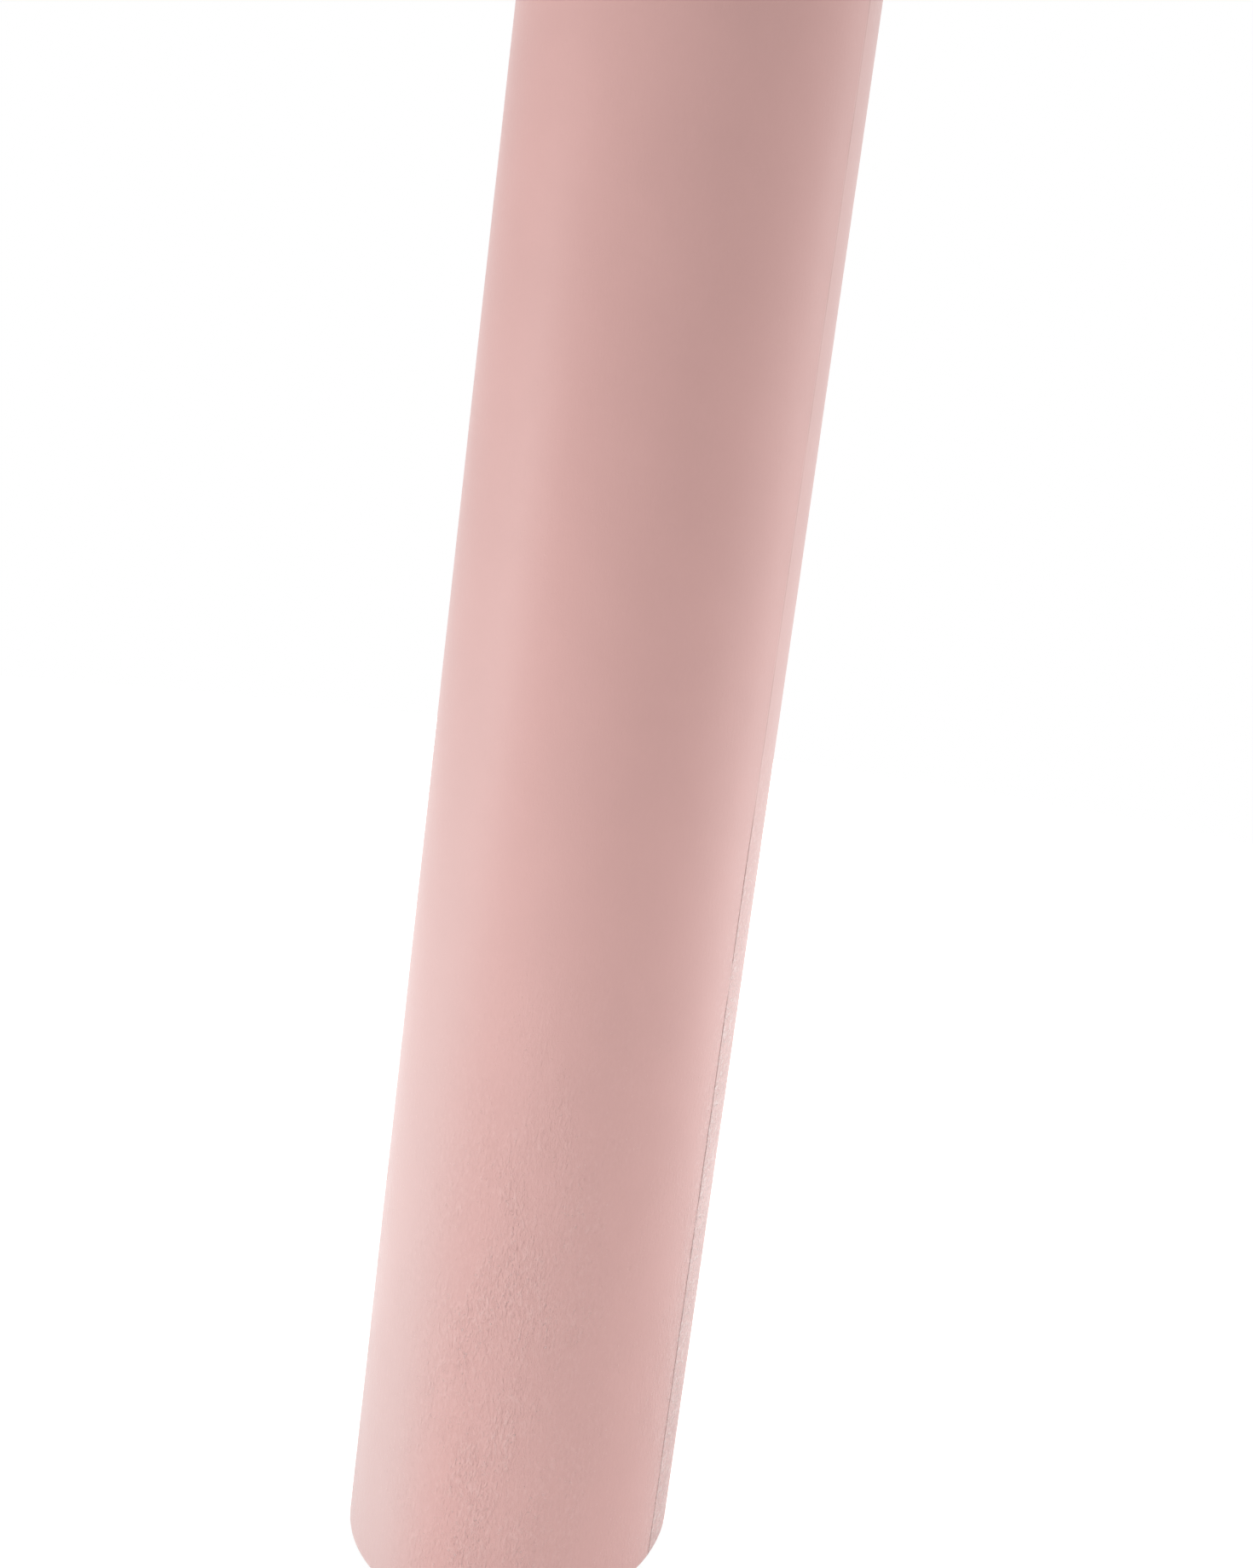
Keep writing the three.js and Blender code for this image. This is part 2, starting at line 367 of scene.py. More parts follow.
@dataclass(frozen=True)
class HardPlastic(Finish):
    """Hard plastic, whose fine texture gives its gloss and relief, and whose gloss is a little cloudy."""

    color: Color
    worn_color: Color
    ior: float
    roughness: Span
    texture: Noise
    texture_stretch: Stretch
    cloud: Noise
    cloud_roughness: float
    relief: float
    relief_strength: float
    texture_span: Span = (0.3, 0.7)

    def dress(self, sheet: NodeSheet, shader: bpy.types.Node) -> None:
        """Lays the plastic's colour, texture and relief.

        Args:
            sheet: the material's nodes.
            shader: its Principled shader.
        """
        texture = sheet.noise(sheet.place(self.texture_stretch), self.texture)
        cloud = sheet.noise(sheet.place(), self.cloud)
        gloss = sheet.ramp(texture, self.texture_span, self.roughness)
        sheet.fill(shader, {
            Socket.COLOR: sheet.blend(self.wear(sheet, texture, cloud), self.color, self.worn_color),
            Socket.ROUGHNESS: sheet.math("ADD", gloss, sheet.scaled(cloud, self.cloud_roughness)),
            Socket.NORMAL: sheet.bump(texture, self.relief, self.relief_strength),
            Socket.IOR: self.ior,
        })

    def wear(self, sheet: NodeSheet, texture: Wire, cloud: Wire) -> Wire:
        """Gives how much of the worn colour shows, which each kind of plastic says for itself."""
        raise NotImplementedError


@dataclass(frozen=True)
class MouldedPlastic(HardPlastic):
    """Moulded plastic with a fine spark-eroded texture, a faint haze and flow rings round the gate."""

    color: Color = (0.045, 0.045, 0.05, 1.0)
    worn_color: Color = (0.075, 0.075, 0.082, 1.0)
    ior: float = 1.49
    roughness: Span = (0.42, 0.58)
    texture: Noise = Noise(2400.0, 1.5, 0.6)
    texture_stretch: Stretch = (1.0, 1.0, 1.0)
    cloud: Noise = Noise(60.0, 3.0, 0.6)
    cloud_roughness: float = 0.06
    cloud_span: Span = (0.35, 0.75)
    cloud_share: float = 0.5
    flow_stretch: Stretch = (1.0, 1.0, 0.0)
    flow_scale: float = 90.0
    flow_distortion: float = 2.5
    flow_share: float = 0.12
    relief: float = 0.03 * MM
    relief_strength: float = 0.7

    def wear(self, sheet: NodeSheet, texture: Wire, cloud: Wire) -> Wire:
        """Lays the haze and the flow rings.

        Args:
            sheet: the material's nodes.
            texture: the fine texture, which isn't read here.
            cloud: the pattern of the haze.

        Returns:
            How much of the worn colour shows.
        """
        flat = sheet.place(self.flow_stretch)
        rings = {"Vector": flat, "Scale": self.flow_scale, "Distortion": self.flow_distortion}
        flow = sheet.add("TexWave", rings, wave_type="RINGS", rings_direction="SPHERICAL").outputs["Fac"]
        haze = sheet.scaled(sheet.ramp(cloud, self.cloud_span), self.cloud_share)
        return sheet.math("ADD", haze, sheet.scaled(flow, self.flow_share), clamp=True)


@dataclass(frozen=True)
class ExtrudedPlastic(HardPlastic):
    """Extruded tube plastic, with faint die lines along its length."""

    color: Color = (0.03, 0.03, 0.032, 1.0)
    worn_color: Color = (0.048, 0.048, 0.052, 1.0)
    ior: float = 1.5
    roughness: Span = (0.34, 0.5)
    texture: Noise = Noise(900.0, 3.0, 0.65)
    texture_stretch: Stretch = (1.0, 1.0, 0.004)
    cloud: Noise = Noise(40.0, 2.0, 0.5)
    cloud_roughness: float = 0.05
    line_span: Span = (0.4, 0.7)
    line_share: float = 0.6
    relief: float = 0.02 * MM
    relief_strength: float = 0.6

    def wear(self, sheet: NodeSheet, texture: Wire, cloud: Wire) -> Wire:
        """Gives how much of the worn colour shows along the die lines."""
        return sheet.scaled(sheet.ramp(texture, self.line_span), self.line_share)


class Section:
    """A closed outline of (radius, height) points, which revolved() turns about Z."""

    def __init__(self) -> None:
        """Starts with no points."""
        self.points: list[tuple[float, float]] = []

    def to(self, radius: float, *heights: float) -> None:
        """Adds a point at each height, all at one radius."""
        self.points += [(radius, height) for height in heights]

    def arc(self, middle: Span, size: float, turn: Span, steps: int) -> None:
        """Adds part of a turn, both ends included.

        Args:
            middle: its centre's radius and height.
            size: its own radius.
            turn: its first and last angle, in degrees.
            steps: how many straight steps it has.
        """
        for angle in np.radians(np.linspace(*turn, steps + 1)):
            self.to(middle[0] + size * math.cos(angle), middle[1] + size * math.sin(angle))


def ring(mesh: bmesh.types.BMesh, radius: float, height: float, columns: int) -> list[bmesh.types.BMVert]:
    """Adds a ring of vertices about Z.

    Args:
        mesh: the mesh that takes them.
        radius: the ring's radius. On the axis, one vertex stands for all of them.
        height: the ring's height.
        columns: how many vertices it has.

    Returns:
        The ring's vertices, in order.
    """
    if radius < ON_AXIS:
        return [mesh.verts.new((0.0, 0.0, height))] * columns
    turns = np.linspace(0.0, math.tau, columns, endpoint=False)
    return [mesh.verts.new((radius * math.cos(turn), radius * math.sin(turn), height)) for turn in turns]


def revolved(section: Section, columns: int) -> bmesh.types.BMesh:
    """Revolves a section into a closed mesh.

    Args:
        section: the closed outline.
        columns: how many steps a full turn has.

    Returns:
        The mesh, with its faces looking outwards.
    """
    mesh = bmesh.new()
    rings = [ring(mesh, radius, height, columns) for radius, height in section.points]
    for lower, upper in zip(rings, rings[1:] + rings[:1]):
        for i in range(columns):
            j = (i + 1) % columns
            corners = list(dict.fromkeys((lower[i], lower[j], upper[j], upper[i])))
            if len(corners) > 2:
                mesh.faces.new(corners)
    bmesh.ops.recalc_face_normals(mesh, faces=mesh.faces)
    return mesh


def plate(outline: list[tuple[float, float]], thickness: float, turn: float) -> bmesh.types.BMesh:
    """Makes a plate that stands in a plane through the axis.

    Args:
        outline: its (radius, height) corners, in order.
        thickness: how thick it is.
        turn: the azimuth of its plane, in radians.

    Returns:
        The closed plate.
    """
    mesh = bmesh.new()
    sides = []
    for offset in (-thickness / 2, thickness / 2):
        sides.append([mesh.verts.new((radius, offset, height)) for radius, height in outline])
    mesh.faces.new(sides[0])
    mesh.faces.new(list(reversed(sides[1])))
    for i in range(len(outline)):
        j = (i + 1) % len(outline)
        mesh.faces.new((sides[0][i], sides[1][i], sides[1][j], sides[0][j]))
    bmesh.ops.recalc_face_normals(mesh, faces=mesh.faces)
    bmesh.ops.rotate(mesh, verts=mesh.verts, cent=(0, 0, 0), matrix=Matrix.Rotation(turn, 3, "Z"))
    return mesh


def placed(name: str, data: bpy.types.ID) -> bpy.types.Object:
    """Puts a mesh, a camera or a light into the scene.

    Args:
        name: the object's name.
        data: what the object holds.

    Returns:
        The object.
    """
    thing = bpy.data.objects.new(name, data)
    bpy.context.scene.collection.objects.link(thing)
    return thing


def shown(name: str, mesh: bmesh.types.BMesh) -> bpy.types.Object:
    """Turns a bmesh into an object of the scene.

    Args:
        name: the object's name.
        mesh: the mesh, which is freed.

    Returns:
        The object.
    """
    data = bpy.data.meshes.new(name)
    mesh.to_mesh(data)
    mesh.free()
    return placed(name, data)


def soften(piece: bpy.types.Object, angle: float) -> None:
    """Shades a piece smooth, but for edges that turn by more than an angle in degrees."""
    piece.data.shade_smooth()
    piece.data.set_sharp_from_angle(angle=math.radians(angle))


def attach(piece: bpy.types.Object, finish: Finish, node: str) -> None:
    """Gives a piece its material and its body, and hides the CAD node that it stands for.

    Args:
        piece: the object.
        finish: its finish.
        node: the CAD node that it replaces.
    """
    piece.data.materials.clear()
    piece.data.materials.append(finish.material(piece.name + "_finish"))
    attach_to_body(piece, BODY)
    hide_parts(node)
    LOG.info("%s: %d faces, stands for %s", piece.name, len(piece.data.polygons), node)


def clipped(values: Array) -> Array:
    """Keeps values from 0 to 1."""
    return np.clip(values, 0.0, 1.0)


def eased(share: Array) -> Array:
    """Rounds off both ends of a share that runs from 0 to 1."""
    return share * share * (3 - 2 * share)


@dataclass(frozen=True)
class Waviness:
    """Random waves of the wrapped sheet: their height, how many run round it, and their lengths along it."""

    height: float
    modes: int
    shortest: float
    longest: float
    count: int = 14
    overlap: int = 3

    def offsets(self, dice: np.random.Generator, angle: Array, height: Array) -> Array:
        """Draws the waves and adds them up.

        Args:
            dice: the source of the random draws.
            angle: azimuths of the points, in radians.
            height: heights of the points, in metres.

        Returns:
            Offsets along the normal, in metres.
        """
        total = np.zeros(np.broadcast(angle, height).shape)
        for _ in range(self.count):
            mode = dice.integers(0, self.modes)
            wave = math.tau / dice.uniform(self.shortest, self.longest)
            phase = dice.uniform(0, math.tau)
            total += self.height / self.overlap * np.cos(mode * angle + wave * height + phase)
        return total


@dataclass(frozen=True)
class SkinWearAndPaintedSheen:
    """Where the skin is worn, near the ends and on some sides more than on others, and a painted sheen on one
    side.

    Azimuths are taken from the seam. The grain is the strongest where the skin is the most worn, which reaches
    less far in from the upper end, by a factor.
    """

    length: float = ROLLER_LENGTH
    end_reach: float = 120 * MM
    end_fade: float = 220 * MM
    upper_end_factor: float = 2.0
    strips: int = 4
    strip_side: float = math.radians(-71)
    strip_least: float = 0.22
    least: float = 0.08
    # Where the painted sheen lies: its side, its reach and fade round the roller, and the heights over which it
    # fades out.
    painted_sheen_side: float = math.radians(-152)
    painted_sheen_reach: float = math.radians(40)
    painted_sheen_fade: float = math.radians(32)
    painted_sheen_low: float = 40 * MM
    painted_sheen_high: float = 620 * MM

    def near_end(self, height: Array, extra: float = 0.0) -> Array:
        """Gives how far a height belongs to an end of the roller, which reaches in by extra metres more."""
        from_end = np.minimum(height, self.upper_end_factor * (self.length - height))
        return 1.0 - eased(clipped((from_end - self.end_reach - extra) / self.end_fade))

    def grain(self, angle: Array, height: Array) -> Array:
        """Gives the strength of the skin's grain.

        Args:
            angle: azimuths from the seam, in radians.
            height: heights in metres.

        Returns:
            Shares from least to 1.
        """
        strip = 0.5 + 0.5 * np.cos(self.strips * (angle - self.strip_side))
        around = self.strip_least + (1 - self.strip_least) * strip
        return self.least + (1 - self.least) * self.near_end(height) * around

    def painted_sheen(self, angle: Array, height: Array) -> Array:
        """Gives the painted sheen: a pale tone on one side of the skin's lower part, in place of a grazing
        reflection.

        Args:
            angle: azimuths from the seam, in radians.
            height: heights in metres.

        Returns:
            Shares from 0 to 1.
        """
        away = np.abs((angle - self.painted_sheen_side + math.pi) % math.tau - math.pi)
        around = clipped(1 - (away - self.painted_sheen_reach) / self.painted_sheen_fade)
        return eased(around) * clipped((self.painted_sheen_high - height) / (self.painted_sheen_high - self.painted_sheen_low))


@dataclass(frozen=True)
class ButtSeam:
    """The butt seam of the wrapped sheet: a groove with low lips, open unevenly along it, most near the ends.

    An offset is a distance from the seam along the skin in metres, above zero on the side of the lip with the
    painted highlight.
    """

    angle: float = math.radians(-26)
    width: float = 1.2 * MM
    root_width: float = 0.3 * MM
    depth: float = 0.8 * MM
    lip_height: float = 0.06 * MM
    lip_reach: float = 1.6 * MM
    lip_columns: tuple[float, ...] = (0.75 * MM, 1.02 * MM)
    beyond_lip: float = 2.56 * MM
    tight: float = 0.16
    slack: float = 0.68
    least_slack: float = 0.05
    unevenness: float = 0.1375
    shortest_wave: float = 22 * MM
    longest_wave: float = 130 * MM
    waves: int = 12
    seed: int = 2538
    shadow_reach: float = 0.504 * MM
    shadow_fade: float = 0.3 * MM
    band_before: float = 12 * MM
    band_before_share: float = 0.45
    band_beyond: float = 34 * MM
    band_gain: float = 1.5
    far_edge_gain: float = 1.2

    def columns(self) -> list[float]:
        """Gives the offsets on one side at which the groove and its lip need a column of the mesh."""
        half, root = self.width / 2, self.root_width / 2
        return [0.0, root, (root + half) / 2, half, *self.lip_columns, self.lip_reach, self.beyond_lip]

    def opening(self, height: Array, near_end: Array) -> Array:
        """Gives how far the seam stands open along its length.

        Args:
            height: heights in metres.
            near_end: how far each height belongs to an end of the roller.

        Returns:
            Shares of the full groove.
        """
        dice = np.random.default_rng(self.seed)
        uneven = np.zeros(height.shape)
        for _ in range(self.waves):
            wave = math.tau / dice.uniform(self.shortest_wave, self.longest_wave)
            uneven += np.cos(wave * height + dice.uniform(0, math.tau))
        share = self.tight + (self.slack - self.tight) * near_end
        return np.clip(share * (1 + self.unevenness * uneven), self.least_slack, 1.0)

    def cut(self, offset: Array, opening: Array) -> Array:
        """Gives the groove's depth.

        Args:
            offset: offsets from the seam.
            opening: how far the seam stands open there.

        Returns:
            Depths in metres, below zero on the raised lips.
        """
        away = np.abs(offset)
        half, root = self.width / 2, self.root_width / 2
        groove = opening * self.depth * clipped((half - away) / (half - root))
        lip = clipped((away - half) / (self.lip_reach - half))
        return groove - self.lip_height * np.sin(math.pi * lip) * (away >= half)

    def masks(self, offset: Array) -> dict[Mask, Array]:
        """Gives the masks that go with the seam.

        Args:
            offset: offsets from the seam.

        Returns:
            The painted shade of the groove, the painted highlight on its lip, the rough band on both sides and
            the paler strip beyond it.
        """
        middle = self.lip_reach / 2
        fade = 1 - offset / self.band_beyond
        before = self.band_before_share * clipped(1 + offset / self.band_before)
        return {
            # Painted shade in the groove.
            Mask.PAINTED_GROOVE_SHADE: clipped((self.shadow_reach - np.abs(offset)) / self.shadow_fade),
            # A painted highlight on one lip.
            Mask.PAINTED_LIP_HIGHLIGHT: clipped(1 - np.abs(offset - middle) / middle),
            Mask.ROUGH_BAND: np.where(offset < 0, before, clipped(self.band_gain * fade)),
            Mask.FAR_EDGE: np.where(offset < self.root_width, 0.0, clipped(self.far_edge_gain * fade)),
        }


@dataclass
class FoamSleeve:
    """The foam sheet wrapped round the tube, with rounded rims and one butt seam from end to end."""

    length: float = ROLLER_LENGTH
    diameter: float = ROLLER_DIAMETER
    thickness: float = (ROLLER_DIAMETER - TUBE_DIAMETER) / 2 - FIT_GAP
    rim_radius: float = 6 * MM
    bore_edge_radius: float = 2 * MM
    cut_falloff: int = 6
    seam_extra: float = 100 * MM
    waviness: tuple[Waviness, ...] = (
        Waviness(0.035 * MM, modes=9, shortest=110 * MM, longest=420 * MM),
        Waviness(0.012 * MM, modes=30, shortest=25 * MM, longest=70 * MM),
    )
    seed: int = 5
    column_step: float = 2.0 * MM
    station_step: float = 3.6 * MM
    rim_steps: int = 12
    edge_steps: int = 5
    face_steps: int = 8
    bore_steps: int = 6
    seam: ButtSeam = field(default_factory=ButtSeam)
    wear: SkinWearAndPaintedSheen = field(default_factory=SkinWearAndPaintedSheen)
    finish: FoamSkin = field(default_factory=FoamSkin)

    def columns(self) -> Array:
        """Gives the azimuths of the mesh's columns from the seam, close together where the seam's groove is.

        Returns:
            Angles in radians, from minus half a turn up.
        """
        near = self.seam.columns()
        reach = math.pi * self.diameter / 2
        count = round((reach - near[-1]) / self.column_step)
        far = np.linspace(near[-1], reach, count + 1)[1:]
        side = np.array(near + list(far)) / (self.diameter / 2)
        return np.concatenate([-side[-2:0:-1], side])

    def lower_end(self) -> list[tuple[float, ...]]:
        """Gives the section of the lower end, from the bore's mouth over the end face to the skin.

        Returns:
            Rows of a point's radius and height, its normal's radius and height, the share of the seam's depth
            there, and how far the point belongs to the cut end face.
        """
        outer = self.diameter / 2
        rim, edge = self.rim_radius, self.bore_edge_radius
        edge_middle, rim_middle = outer - self.thickness + edge, outer - rim
        rows: list[tuple[float, ...]] = []
        for turn in np.radians(np.linspace(180, 270, self.edge_steps + 1)):
            out, up = math.cos(turn), math.sin(turn)
            share = max(0.0, -up)
            rows.append((edge_middle + edge * out, edge + edge * up, out, up, share, share))
        for radius in np.linspace(edge_middle, rim_middle, self.face_steps + 1)[1:-1]:
            rows.append((radius, 0.0, 0.0, -1.0, 1.0, 1.0))
        for turn in np.radians(np.linspace(-90, 0, self.rim_steps + 1)):
            out, up = math.cos(turn), math.sin(turn)
            cut = max(0.0, -up) ** self.cut_falloff
            rows.append((rim_middle + rim * out, rim + rim * up, out, up, 1.0, cut))
        return rows

    def outline(self) -> Array:
        """Gives the sleeve's closed section, whose upper end is the mirror image of the lower.

        Returns:
            Rows like those of lower_end().
        """
        outer = self.diameter / 2
        inner = outer - self.thickness
        rim, edge = self.rim_radius, self.bore_edge_radius
        rows = self.lower_end()
        upper = [(radius, self.length - level, out, -up, *more) for radius, level, out, up, *more in rows[::-1]]
        count = round((self.length - 2 * rim) / self.station_step)
        for height in np.linspace(rim, self.length - rim, count + 1)[1:-1]:
            rows.append((outer, height, 1.0, 0.0, 1.0, 0.0))
        rows += upper
        for height in np.linspace(self.length - edge, edge, self.bore_steps + 1)[1:-1]:
            rows.append((inner, height, -1.0, 0.0, 0.0, 0.0))
        return np.array(rows)

    def build(self) -> None:
        angles = self.columns()[None, :]
        radius, height, out, up, seam_share, cut_share = (column[:, None] for column in self.outline().T)
        offset = angles * radius
        near_seam_end = self.wear.near_end(height, self.seam_extra)
        opening = self.seam.opening(height, near_seam_end)
        dice = np.random.default_rng(self.seed)
        waves = sum(waviness.offsets(dice, angles, height) for waviness in self.waviness)
        on_skin = radius > self.diameter / 2 - self.rim_radius
        push = waves * on_skin - self.seam.cut(offset, opening) * seam_share
        data = self.mesh(radius + out * push, angles + self.seam.angle, height + up * push)

        skin = 1 - cut_share
        groove = opening * seam_share
        seam_masks = self.seam.masks(offset)
        masks = {
            Mask.GRAIN: self.wear.grain(angles, height),
            # Painted sheen: the pale tone on one side of the skin's lower part.
            Mask.BLOOM: self.wear.painted_sheen(angles, height) * skin,
            Mask.CUT_FACE: np.broadcast_to(cut_share, offset.shape),
            # Painted shade in the groove, where the seam stands open.
            Mask.PAINTED_GROOVE_SHADE: seam_masks[Mask.PAINTED_GROOVE_SHADE] * groove,
            # Painted highlight on the lip, where the seam stands open.
            Mask.PAINTED_LIP_HIGHLIGHT: seam_masks[Mask.PAINTED_LIP_HIGHLIGHT] * groove,
            Mask.ROUGH_BAND: seam_masks[Mask.ROUGH_BAND] * near_seam_end * skin,
            Mask.FAR_EDGE: seam_masks[Mask.FAR_EDGE] * skin,
        }
        for mask, values in masks.items():
            layer = data.attributes.new(mask.value, "FLOAT", "POINT")
            layer.data.foreach_set("value", clipped(values).astype(np.float32).ravel())

        piece = placed(data.name, data)
        data.shade_smooth()
        attach(piece, self.finish, "foam_sleeve")

    def mesh(self, radius: Array, azimuth: Array, height: Array) -> bpy.types.Mesh:
        """Closes a grid of points, in rows along the section and columns round the axis, into a mesh.

        Args:
            radius: the points' distances from the axis.
            azimuth: the columns' azimuths, in radians.
            height: the points' heights.

        Returns:
            The mesh.
        """
        vertices = np.stack([radius * np.cos(azimuth), radius * np.sin(azimuth), height], -1).reshape(-1, 3)
        lower = np.arange(radius.size).reshape(radius.shape)
        upper = np.roll(lower, -1, axis=0)
        corners = [lower, np.roll(lower, -1, axis=1), np.roll(upper, -1, axis=1), upper]
        data = bpy.data.meshes.new("foam_roller_sleeve")
        data.from_pydata(vertices.tolist(), [], np.stack(corners, -1).reshape(-1, 4).tolist())
        data.update()
        return data


@dataclass
class CoreTube:
    """The rigid extruded tube, cut square, with its edges broken."""

    diameter: float = TUBE_DIAMETER
    wall: float = TUBE_WALL
    edge_radius: float = 0.8 * MM
    edge_steps: int = 3
    columns: int = 180
    stations: int = 24
    sharp_angle: float = 35.0
    finish: ExtrudedPlastic = field(default_factory=ExtrudedPlastic)

    def build(self) -> None:
        """Builds the tube between the ends that its CAD node has, and dresses it."""
        low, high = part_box("core_tube")
        edge, steps = self.edge_radius, self.edge_steps
        outer = self.diameter / 2
        inner = outer - self.wall
        bottom, top = low.z + edge, high.z - edge
        stations = np.linspace(bottom, top, self.stations + 1)[1:-1]
        section = Section()
        section.arc((outer - edge, bottom), edge, (-90, 0), steps)
        section.to(outer, *stations)
        section.arc((outer - edge, top), edge, (0, 90), steps)
        section.arc((inner + edge, top), edge, (90, 180), steps)
        section.to(inner, *reversed(stations))
        section.arc((inner + edge, bottom), edge, (180, 270), steps)
        piece = shown("core_tube_extrusion", revolved(section, self.columns))
        soften(piece, self.sharp_angle)
        attach(piece, self.finish, "core_tube")


@dataclass
class EndCap:
    """A moulded cap: a flange, a dished floor with a gate dimple, and a ribbed skirt that grips the tube."""

    end: End = End.LOWER
    diameter: float = TUBE_DIAMETER
    wall: float = 2.4 * MM
    edge_radius: float = 0.8 * MM
    rib_count: int = 12
    rib_height: float = 0.6 * MM
    rib_width: float = 1.2 * MM
    skirt_radius: float = TUBE_DIAMETER / 2 - TUBE_WALL - FIT_GAP - rib_height
    skirt_end: float = 24.4 * MM
    skirt_lead: float = 1.5 * MM
    skirt_taper: float = 1.08 * MM
    dish_radius: float = 41 * MM
    dish_depth: float = 6 * MM
    dish_draft: float = 1 * MM
    dish_corner: float = 2.4 * MM
    gate_radius: float = 6 * MM
    gate_depth: float = 0.6 * MM
    gate_edge: float = 0.25 * MM
    nub_radius: float = 1.1 * MM
    nub_height: float = 0.35 * MM
    hub_radius: float = 11 * MM
    hub_top: float = 15.6 * MM
    web_count: int = 8
    web_thickness: float = 2 * MM
    web_rim_top: float = 19.6 * MM
    overlap: float = 0.2 * MM
    columns: int = 168
    corner_steps: int = 8
    gate_steps: int = 3
    sharp_angle: float = 32.0
    finish: MouldedPlastic = field(default_factory=MouldedPlastic)

    def shell(self) -> bmesh.types.BMesh:
        """Makes the revolved shell, with its outer face at height 0 and its skirt pointing up.

        Returns:
            The closed shell.
        """
        edge, corner, steps = self.edge_radius, self.dish_corner, self.corner_steps
        gate, gate_steps = self.gate_edge, self.gate_steps
        outer = self.diameter / 2
        floor = self.dish_radius - self.dish_draft
        gate_floor = self.dish_depth + self.gate_depth
        nub_tip = gate_floor - self.nub_height
        skirt_bore = self.skirt_radius - self.wall
        section = Section()
        section.to(0.0, nub_tip)
        section.arc((self.nub_radius - gate, nub_tip + gate), gate, (-90, 0), gate_steps)
        section.to(self.nub_radius, gate_floor)
        section.to(self.gate_radius - gate, gate_floor)
        section.arc((self.gate_radius + gate, self.dish_depth + gate), gate, (180, 270), gate_steps)
        section.to(floor / 2, self.dish_depth)
        section.arc((floor - corner, self.dish_depth - corner), corner, (90, 0), steps)
        section.arc((self.dish_radius + edge, edge), edge, (180, 270), steps)
        section.to((self.dish_radius + outer) / 2, 0.0)
        section.arc((outer - edge, edge), edge, (-90, 0), steps)
        section.to(outer, self.wall)
        section.to(self.skirt_radius, self.wall, self.skirt_end - self.skirt_lead)
        section.to(self.skirt_radius - self.skirt_taper, self.skirt_end)
        section.to(skirt_bore, self.skirt_end, self.wall)
        section.to(self.dish_radius + self.wall, self.wall)
        section.arc((floor - corner, self.dish_depth - corner), corner + self.wall, (0, 90), steps)
        section.to(0.0, self.dish_depth + self.wall)
        return revolved(section, self.columns)

    def hub(self) -> bmesh.types.BMesh:
        """Makes the ring in the middle of the floor, on the inside.

        Returns:
            The closed ring.
        """
        root = self.dish_depth + self.wall - self.overlap
        section = Section()
        section.to(self.hub_radius - self.wall, root)
        section.to(self.hub_radius, root, self.hub_top)
        section.to(self.hub_radius - self.wall, self.hub_top)
        return revolved(section, self.columns // 2)

    def web(self, turn: float) -> bmesh.types.BMesh:
        """Makes one web from the hub to the skirt.

        Args:
            turn: its azimuth, in radians.

        Returns:
            The closed web.
        """
        floor_root = self.dish_depth + self.wall - self.overlap
        flange_root = self.wall - self.overlap
        start = self.hub_radius - self.wall / 2
        step = self.dish_radius + self.wall / 2
        rim = self.skirt_radius - self.wall + self.overlap
        outline = [
            (start, floor_root), (step, floor_root), (step, flange_root),
            (rim, flange_root), (rim, self.web_rim_top), (start, self.hub_top),
        ]
        return plate(outline, self.web_thickness, turn)

    def crush_rib(self, turn: float) -> bmesh.types.BMesh:
        """Makes one crush rib on the skirt.

        Args:
            turn: its azimuth, in radians.

        Returns:
            The closed rib.
        """
        foot = self.wall - self.overlap
        root = self.skirt_radius - self.wall / 2
        crest = self.skirt_radius + self.rib_height
        tip = self.skirt_end - self.skirt_lead
        slope = tip - self.skirt_lead
        outline = [(root, foot), (crest, foot), (crest, slope), (self.skirt_radius, tip), (root, tip)]
        return plate(outline, self.rib_width, turn)

    def moulding(self, name: str) -> bpy.types.Object:
        """Joins the shell, the hub, the webs and the crush ribs into one solid.

        Args:
            name: the solid's name.

        Returns:
            Its object, with the outer face at height 0.
        """
        extras = [self.hub()]
        extras += [self.web(math.tau * i / self.web_count) for i in range(self.web_count)]
        extras += [self.crush_rib(math.tau * i / self.rib_count) for i in range(self.rib_count)]
        tools = bpy.data.collections.new(name + "_tools")
        bpy.context.scene.collection.children.link(tools)
        for number, extra in enumerate(extras):
            tool = shown(f"{name}_tool_{number}", extra)
            bpy.context.scene.collection.objects.unlink(tool)
            tools.objects.link(tool)
        piece = shown(name, self.shell())
        union = piece.modifiers.new("union", "BOOLEAN")
        union.operation = "UNION"
        union.solver = "EXACT"
        union.operand_type = "COLLECTION"
        union.collection = tools
        bpy.context.view_layer.update()
        whole = bpy.data.meshes.new_from_object(piece.evaluated_get(bpy.context.evaluated_depsgraph_get()))
        piece.modifiers.clear()
        piece.data = whole
        for tool in list(tools.objects):
            bpy.data.objects.remove(tool)
        bpy.data.collections.remove(tools)
        return piece

    def build(self) -> None:
        """Builds the cap, sets it in its end of the tube and dresses it."""
        node = self.end.value + "_end_cap"
        piece = self.moulding(self.end.value + "_cap_moulding")
        low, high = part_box(node)
        if self.end is End.LOWER:
            piece.data.transform(Matrix.Translation((0.0, 0.0, low.z)))
        else:
            piece.data.transform(Matrix.Translation((0.0, 0.0, high.z)) @ Matrix.Rotation(math.pi, 4, "X"))
        soften(piece, self.sharp_angle)
        attach(piece, self.finish, node)


